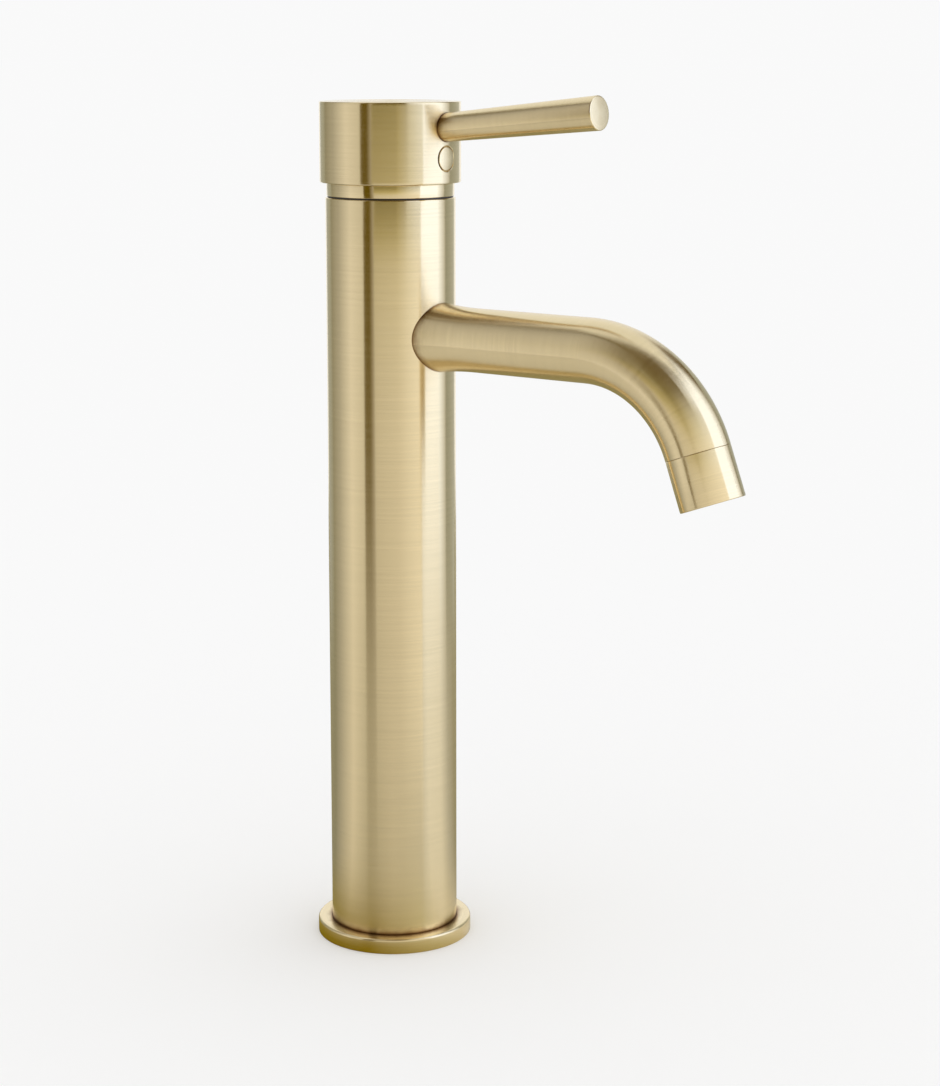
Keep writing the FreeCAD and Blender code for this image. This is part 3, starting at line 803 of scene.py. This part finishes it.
class MIXER_OT_aerator_sleeve(bpy.types.Operator):
    """Turn the aerator sleeve and set it on the spout's end"""

    bl_idname = "mixer.aerator_sleeve"
    bl_label = "Aerator sleeve"

    def execute(self, context):
        sizes = context.scene.mixer_sizes
        outer = sizes.spout_radius
        bore = sizes.sleeve_bore
        end = sizes.sleeve_length
        thread = outer - sizes.spout_wall - 0.25 * MM
        thread_length = 4 * MM
        lip = bore - 0.9 * MM
        lip_z = end - 1.5 * MM
        seam = CLEARANCE
        seam_edge = 0.25 * MM
        mouth_edge = 0.4 * MM
        piece = draw_outline(
            "spout_mouth",
            [
                (bore, -thread_length),
                (thread, -thread_length),
                (thread, seam),
                (outer, seam),
                (outer, end),
                (lip, end),
                (lip, lip_z),
                (bore, lip_z),
            ],
        )
        ease_corners([(outer, seam)], seam_edge)
        ease_corners([(outer, end), (lip, end)], mouth_edge, 4)
        spin_outline(TUBE_FACETS)
        set_along(piece, spout_end(sizes), flow_direction(sizes))
        brass = finish("champagne_brass")
        finish_piece(piece, "body", ["aerator_sleeve"], brass, along_spout)
        return {"FINISHED"}


class MIXER_OT_cap(bpy.types.Operator):
    """Turn the handle cap and sink the seats of the lever and the plug in its skirt"""

    bl_idname = "mixer.cap"
    bl_label = "Handle cap"

    def execute(self, context):
        sizes = context.scene.mixer_sizes
        outer = sizes.cap_radius
        bore = outer - sizes.cap_wall
        low, high = CAP_LOW.z, CAP_HIGH.z
        roof = high - sizes.cap_roof
        boss, socket = 8.5 * MM, 5.75 * MM
        boss_low = low + 5.0 * MM
        socket_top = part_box("stem")[1].z + 2 * CLEARANCE
        bands = 34
        piece = draw_outline(
            "cap",
            [
                (bore, low),
                (outer, low),
                (outer, high),
                (0, high),
                (0, socket_top),
                (socket, socket_top),
                (socket, boss_low),
                (boss, boss_low),
                (boss, roof),
                (bore, roof),
            ],
        )
        ease_corners([(outer, low), (outer, high)], sizes.edge)
        divide_edge(lambda e, p: p.x > outer - EPSILON, bands - 1)
        spin_outline(sizes.facets)
        plug_gap, lever_gap = 0.42 * MM, 0.06 * MM
        sink_seat(piece, sizes, plug_height(), PLUG_HIGH.x + plug_gap, 0.15 * MM, 1.4 * MM)
        lever_z = lever_start(sizes).z
        sink_seat(piece, sizes, lever_z, sizes.lever_root + lever_gap, 0.12 * MM, 1.2 * MM)
        close_skin()
        brass = finish("champagne_brass")
        finish_piece(piece, "handle", ["handle_cap"], brass, about_body)
        return {"FINISHED"}


def sink_seat(piece, sizes, height, radius, chamfer, depth):
    """Sinks a round seat in the skirt's front: clears a patch, rounds its border and sinks that."""
    outer = sizes.cap_radius
    margin = 0.75 * MM
    half = radius + margin

    def in_patch(face, middle):
        arc = math.atan2(middle.x, -middle.y) * outer
        on_skirt = math.hypot(middle.x, middle.y) > outer - 2 * CLEARANCE
        return on_skirt and abs(arc) < half and abs(middle.z - height) < half

    if not pick("FACE", in_patch):
        raise RuntimeError("no faces were found for the seat")
    bpy.ops.mesh.delete(type="FACE")
    bpy.ops.mesh.select_mode(type="EDGE")
    bpy.ops.mesh.select_all(action="DESELECT")
    bpy.ops.mesh.select_non_manifold(extend=False)
    rings = [(radius + chamfer, outer), (radius, outer - chamfer), (radius, outer - depth)]
    for ring_radius, shell in rings:
        bpy.ops.mesh.extrude_region_move(TRANSFORM_OT_translate={"value": (0, 0, 0)})
        draw_to_circle(piece, outer, height, ring_radius, shell)
    bpy.ops.mesh.edge_face_add()


def draw_to_circle(piece, outer, height, radius, shell):
    """Moves the selected ring of vertices to a circle of that radius, on a shell about the body's axis."""
    work = bmesh.from_edit_mesh(piece.data)
    for vertex in work.verts:
        if not vertex.select:
            continue
        arc = math.atan2(vertex.co.x, -vertex.co.y) * outer
        angle = math.atan2(arc, vertex.co.z - height)
        x = radius * math.sin(angle)
        vertex.co = (x, -math.sqrt(shell**2 - x**2), height + radius * math.cos(angle))
    bmesh.update_edit_mesh(piece.data)


class MIXER_OT_lever(bpy.types.Operator):
    """Draw the pin lever: a slim cone with an eased end"""

    bl_idname = "mixer.lever"
    bl_label = "Lever"

    def execute(self, context):
        sizes = context.scene.mixer_sizes
        start, direction = lever_start(sizes), lever_direction(sizes)
        reach = -(LEVER_LOW.y + sizes.cap_radius) / math.cos(sizes.lever_rise)
        reach -= sizes.lever_tip * math.tan(sizes.lever_rise)
        root, tip = sizes.lever_root, sizes.lever_tip
        stud, stud_depth = 3.05 * MM, 12 * MM
        inside = -1.1 * MM
        tip_edge = 0.45 * MM
        piece = draw_outline(
            "lever",
            [
                (stud, inside),
                (root, inside),
                (root, 0),
                (tip, reach),
                (0, reach),
                (0, stud_depth),
                (stud, stud_depth),
            ],
        )
        ease_corners([(tip, reach)], tip_edge, 4)
        spin_outline(TUBE_FACETS)
        set_along(piece, start, direction)
        # Painted shade round the lever's root, where it leaves the cap.
        brass = finish("champagne_brass", ("lever_root", sizes.cap_radius, None, sizes.seam_shade_width))
        finish_piece(piece, "handle", ["lever_rod"], brass, along_lever)
        return {"FINISHED"}


class MIXER_OT_plug(bpy.types.Operator):
    """Turn the round plug under the lever"""

    bl_idname = "mixer.plug"
    bl_label = "Index plug"

    def execute(self, context):
        radius = PLUG_HIGH.x
        thickness, crown, edge = 1.2 * MM, 0.3 * MM, 0.2 * MM
        dome_steps = 8
        dome = []
        for step in range(dome_steps + 1):
            share = 1 - step / dome_steps
            dome.append((radius * share, thickness + crown * (1 - share**2)))
        piece = draw_outline("plug", [(0, 0), (radius, 0), *dome])
        ease_corners([(radius, thickness)], edge)
        spin_outline(64)
        clear_selection()
        back = Vector((0, PLUG_LOW.y + thickness + crown, plug_height()))
        set_along(piece, back, Vector((0, -1, 0)))
        brass = finish("champagne_polished")
        finish_piece(piece, "handle", ["index_plug"], brass, about_plug)
        return {"FINISHED"}


def plug_height():
    return (PLUG_LOW.z + PLUG_HIGH.z) / 2


def about_plug(point):
    """Place about the plug's axis, where the brushing runs in circles."""
    up = point.z - plug_height()
    radius = math.hypot(point.x, up)
    return radius - point.y, math.atan2(point.x, up), radius


class MIXER_OT_inner_parts(bpy.types.Operator):
    """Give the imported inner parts, seals and fasteners their finishes"""

    bl_idname = "mixer.inner_parts"
    bl_label = "Inner parts"

    def execute(self, context):
        slots = {part["node"]: part["material_slot"] for part in frame["record"]["subparts"]}
        for name, part in frame["nodes"].items():
            if part.hide_render:
                continue
            part.data.materials.clear()
            part.data.materials.append(finish(slots[name]))
        return {"FINISHED"}


# ---- stage ----

# Angles here run from the camera's direction to its right, round the mixer.

FLOOR_SIZE = 60
ROOM_GLOW = (0.11, 0.07, 0.0)

# Painted light and shade on the floor, seen only in reflections: its tone at those angles far from the mixer,
# its painted shade beside it, and the distances between which the one turns into the other.
FLOOR_LIGHT_AND_SHADE = (
    (-180, (0.30, 0.27, 0.12)),
    (-126, (0.30, 0.31, 0.26)),
    (-106, (0.46, 0.47, 0.46)),
    (-74, (0.76, 0.76, 0.75)),
    (-40, (0.50, 0.50, 0.46)),
    (0, (0.64, 0.64, 0.62)),
    (48, (0.58, 0.59, 0.58)),
    (66, (0.80, 0.82, 0.84)),
    (92, (0.80, 0.82, 0.84)),
    (114, (0.56, 0.58, 0.60)),
    (140, (0.36, 0.35, 0.26)),
    (180, (0.30, 0.27, 0.12)),
)
# Painted shade: the floor's darker, warmer tone beside the base, seen only in reflections.
NEAR_FLOOR_SHADE_TONES = (
    (-180, (0.34, 0.28, 0.10)),
    (-100, (0.32, 0.26, 0.02)),
    (-20, (0.30, 0.23, 0.0)),
    (40, (0.58, 0.54, 0.30)),
    (80, (0.85, 0.84, 0.78)),
    (180, (0.34, 0.28, 0.10)),
)
NEAR_FLOOR = 0.03
FAR_FLOOR = 0.10

# Upright cards: name, first and last angle, distance, lowest and highest point, glow at the first and
# at the last angle, and how much of it is left at the top.
WHITE = (1.32, 1.52, 2.1)
WARM_DARK = (0.13, 0.09, 0.0)
CARDS = (
    ("back_softbox", 146, 214, 0.80, 0.0, 1.50, (1.0, 1.04, 1.1), (1.0, 1.04, 1.1), 0.9),
    ("left_back_screen", -152, -128, 0.48, 0.0, 0.45, (0.42, 0.45, 0.44), (0.36, 0.38, 0.35), 1.1),
    ("left_edge", -128, -104, 0.56, 0.0, 0.90, (0.32, 0.32, 0.26), (0.50, 0.51, 0.50), 0.8),
    ("left_softbox", -104, -74, 0.60, 0.0, 1.20, (0.50, 0.51, 0.50), (0.92, 0.93, 0.96), 0.50),
    ("left_softbox_front", -74, -45.5, 0.60, 0.0, 1.20, (0.92, 0.93, 0.96), (0.76, 0.76, 0.74), 0.50),
    ("dark_flag", -46, -35, 0.34, 0.08, 1.2, WARM_DARK, WARM_DARK, 1.0),
    ("dark_flag_edge", -35, -26, 0.34, 0.08, 1.2, WARM_DARK, (0.56, 0.54, 0.50), 1.0),
    ("dark_flag_foot", -46, -26, 0.35, 0.0, 0.08, (0.52, 0.5, 0.44), (0.55, 0.54, 0.5), 0.55),
    ("front_screen_left", -27, 12, 0.23, 0.0, 0.235, (0.60, 0.59, 0.56), (0.70, 0.69, 0.67), 1.18),
    ("front_screen_right", 12, 54, 0.23, 0.0, 0.235, (0.70, 0.69, 0.67), (0.90, 0.90, 0.90), 1.18),
    ("front_screen_left_top", -27, 12, 0.23, 0.235, 0.325, (0.60, 0.54, 0.24), (0.68, 0.62, 0.30), 0.2),
    ("front_screen_right_top", 12, 54, 0.23, 0.235, 0.325, (0.68, 0.62, 0.30), (1.2, 1.3, 1.5), 0.4),
    ("right_softbox_inner", 30, 54, 0.60, 0.32, 1.00, (0.8, 0.85, 1.0), WHITE, 1.0),
    ("right_softbox", 54, 94, 0.60, 0.15, 1.00, WHITE, WHITE, 1.0),
    ("right_softbox_foot", 54, 94, 0.60, 0.0, 0.15, (1.1, 1.22, 1.55), (1.1, 1.22, 1.55), 1.2),
    ("right_softbox_edge", 94, 112, 0.60, 0.0, 1.00, (1.2, 1.38, 1.85), (0.6, 0.62, 0.66), 1.0),
    ("right_screen", 112, 150, 0.48, 0.0, 0.45, (0.33, 0.36, 0.35), (0.50, 0.54, 0.55), 1.1),
)

# Level card: name, angle, nearest and farthest distance, width, height and glow.
TOP_CARD = ("top_softbox", 180, -0.2, 1.3, 1.4, 1.4, (0.85, 0.88, 0.92))


def view_axes(stage):
    """Unit vectors from the mixer to the camera and to the camera's right."""
    a = math.radians(stage.azimuth)
    e = math.radians(stage.elevation)
    back = Vector((math.sin(a) * math.cos(e), -math.cos(a) * math.cos(e), math.sin(e)))
    return back, Vector((math.cos(a), math.sin(a), 0))


def floor_point(stage, angle_deg, distance):
    """Point on the floor at an angle and at a distance from the mixer."""
    back, right = view_axes(stage)
    toward = Vector((back.x, back.y, 0)).normalized()
    angle = math.radians(angle_deg)
    return (toward * math.cos(angle) + right * math.sin(angle)) * distance


def add_card(stage, name, start_deg, end_deg, distance, low, high, start_glow, end_glow, fade):
    """Upright card between two angles.

    Its glow runs from one colour to another along it, and fades by a factor from its foot to its top.
    """
    outward = floor_point(stage, (start_deg + end_deg) / 2, 1.0)
    half = math.radians((end_deg - start_deg) / 2)
    clear_selection()
    middle = outward * distance + Vector((0, 0, (low + high) / 2))
    bpy.ops.mesh.primitive_plane_add(size=1, location=middle)
    card = bpy.context.object
    card.name = name
    card.rotation_mode = "QUATERNION"
    card.rotation_quaternion = (-outward).to_track_quat("Z", "Y")
    card.scale = (2 * distance * math.tan(half), high - low, 1)
    light_only_reflections(card, end_glow, start_glow, fade)


def add_flat_card(stage, name, angle_deg, near, far, width, height, glow):
    """Level card along a direction."""
    outward = floor_point(stage, angle_deg, 1.0)
    clear_selection()
    bpy.ops.mesh.primitive_plane_add(
        size=1,
        location=outward * (near + far) / 2 + Vector((0, 0, height)),
        rotation=(0, 0, math.atan2(outward.y, outward.x)),
    )
    card = bpy.context.object
    card.name = name
    card.scale = (far - near, width, 1)
    light_only_reflections(card, glow, glow, 1.0)


def light_only_reflections(card, first_glow, last_glow, fade):
    """Gives the card a glow that changes across it and up it, and is seen only in reflections."""
    material = bpy.data.materials.new(card.name)
    material.use_nodes = True
    tree = material.node_tree
    tree.nodes.clear()
    place = add_node(tree, "ShaderNodeTexCoord", (-800, 0)).outputs["Object"]
    split = add_node(tree, "ShaderNodeSeparateXYZ", (-600, 0), {0: place}).outputs
    along = calculate(tree, (-400, 0), "ADD", split["X"], 0.5)
    values = {
        "Color": mix_colours(tree, (-200, 0), along, first_glow, last_glow),
        "Strength": ranged(tree, (-200, -300), split["Y"], -0.5, 0.5, 1.0, fade),
    }
    emission = add_node(tree, "ShaderNodeEmission", (0, 0), values)
    add_node(tree, "ShaderNodeOutputMaterial", (200, 0), {"Surface": emission.outputs[0]})
    card.data.materials.append(material)
    card.visible_camera = False
    card.visible_diffuse = False
    card.visible_shadow = False
    card.visible_transmission = False


def set_sky(tone):
    """Even pale light for the floor and the camera, and a dim warm room for reflections."""
    world = bpy.data.worlds.new("studio")
    bpy.context.scene.world = world
    world.use_nodes = True
    tree = world.node_tree
    rays = add_node(tree, "ShaderNodeLightPath", (-900, 0)).outputs
    seen = mix_colours(tree, (-500, 100), rays["Is Camera Ray"], (1, 1, 1), (tone, tone, tone))
    room = mix_colours(tree, (-250, 0), rays["Is Glossy Ray"], seen, ROOM_GLOW)
    feed(tree.nodes["Background"], {"Color": room, "Strength": 1.0})
    world.cycles.sampling_method = "NONE"


def add_floor(stage):
    """Pale matt floor; in reflections it shows painted light and shade: its tone changes with the angle round the
    mixer and darkens near the base.
    """
    clear_selection()
    bpy.ops.mesh.primitive_plane_add(size=FLOOR_SIZE)
    floor = bpy.context.object
    floor.name = "floor"
    material, tree, shader = new_material("floor")
    place = add_node(tree, "ShaderNodeTexCoord", (-1700, 0)).outputs["Object"]
    sides = []
    for y, angle_deg in ((100, 90), (-100, 0)):
        values = {0: place, 1: floor_point(stage, angle_deg, 1.0)}
        side = add_node(tree, "ShaderNodeVectorMath", (-1500, y), values, operation="DOT_PRODUCT")
        sides.append(side.outputs["Value"])
    angle = calculate(tree, (-1300, 0), "ARCTAN2", *sides)
    turn = ranged(tree, (-1100, 0), angle, -math.pi, math.pi, 0.0, 1.0)
    # Painted light and shade on the floor, seen only in reflections: lighter or darker by the angle round the
    # mixer, and painted shade near the base.
    far_light_and_shade = tone_ramp(tree, (-900, 100), turn, FLOOR_LIGHT_AND_SHADE)
    near_painted_shade = tone_ramp(tree, (-900, -200), turn, NEAR_FLOOR_SHADE_TONES)
    reach = add_node(tree, "ShaderNodeVectorMath", (-1100, -400), {0: place}, operation="LENGTH")
    share = ranged(tree, (-900, -500), reach.outputs["Value"], NEAR_FLOOR, FAR_FLOOR, 0.0, 1.0)
    reflected = mix_colours(tree, (-500, -100), share, near_painted_shade, far_light_and_shade)
    rays = add_node(tree, "ShaderNodeLightPath", (-600, 300)).outputs
    tone = mix_colours(tree, (-300, 100), rays["Is Glossy Ray"], [stage.floor_tone] * 3, reflected)
    feed(shader, {"Base Color": tone, "Roughness": 1.0, "Specular IOR Level": 0.0})
    floor.data.materials.append(material)


def tone_ramp(tree, place, turn, tones):
    """Colour ramp over the angle round the mixer, from -180 to 180 degrees."""
    ramp = add_node(tree, "ShaderNodeValToRGB", place, {"Fac": turn})
    stops = ramp.color_ramp.elements
    while len(stops) < len(tones):
        stops.new(1.0)
    for stop, (angle_deg, tone) in zip(stops, tones):
        stop.position = (angle_deg + 180) / 360
        stop.color = (*tone, 1)
    return ramp.outputs["Color"]


class MIXER_OT_stage(bpy.types.Operator):
    """Set the floor, the lights and the camera"""

    bl_idname = "mixer.stage"
    bl_label = "Stage"

    def execute(self, context):
        stage = context.scene.mixer_stage
        add_floor(stage)
        set_sky(stage.floor_tone)
        for card in CARDS:
            add_card(stage, *card)
        add_flat_card(stage, *TOP_CARD)
        back, right = view_axes(stage)
        target = right * stage.target_side + Vector((0, 0, stage.target_height))
        bpy.ops.object.camera_add(location=target + back * stage.distance)
        camera = context.object
        camera.rotation_mode = "QUATERNION"
        camera.rotation_quaternion = back.to_track_quat("Z", "Y")
        camera.data.lens = stage.focal
        camera.data.sensor_width = 36
        camera.data.shift_y = stage.shift
        context.scene.camera = camera
        context.scene.view_settings.view_transform = "Standard"
        clear_selection()
        return {"FINISHED"}


class MIXER_PT_panel(bpy.types.Panel):
    """Lists the mixer's pieces in the sidebar"""

    bl_idname = "MIXER_PT_panel"
    bl_label = "Basin Mixer"
    bl_space_type = "VIEW_3D"
    bl_region_type = "UI"
    bl_category = "Mixer"

    def draw(self, context):
        layout = self.layout
        for group in (context.scene.mixer_sizes, context.scene.mixer_finishes, context.scene.mixer_stage):
            box = layout.box()
            for name in group.__annotations__:
                box.prop(group, name)
        for operator in PIECES:
            layout.operator(operator.bl_idname)


PIECES = (
    MIXER_OT_column,
    MIXER_OT_flange,
    MIXER_OT_neck,
    MIXER_OT_spout,
    MIXER_OT_aerator_sleeve,
    MIXER_OT_cap,
    MIXER_OT_lever,
    MIXER_OT_plug,
    MIXER_OT_inner_parts,
    MIXER_OT_stage,
)
GROUPS = {
    "mixer_sizes": MixerSizes,
    "mixer_finishes": MixerFinishes,
    "mixer_stage": MixerStage,
}


def register():
    for group in GROUPS.values():
        bpy.utils.register_class(group)
    for name, group in GROUPS.items():
        setattr(bpy.types.Scene, name, PointerProperty(type=group))
    for operator in PIECES:
        bpy.utils.register_class(operator)
    bpy.utils.register_class(MIXER_PT_panel)


def unregister():
    bpy.utils.unregister_class(MIXER_PT_panel)
    for operator in reversed(PIECES):
        bpy.utils.unregister_class(operator)
    for name, group in GROUPS.items():
        delattr(bpy.types.Scene, name)
        bpy.utils.unregister_class(group)


def main():
    register()
    brushing_group()
    seam_shade_group()
    for operator in PIECES:
        family, action = operator.bl_idname.split(".")
        getattr(getattr(bpy.ops, family), action)()


if __name__ == "__main__":
    main()
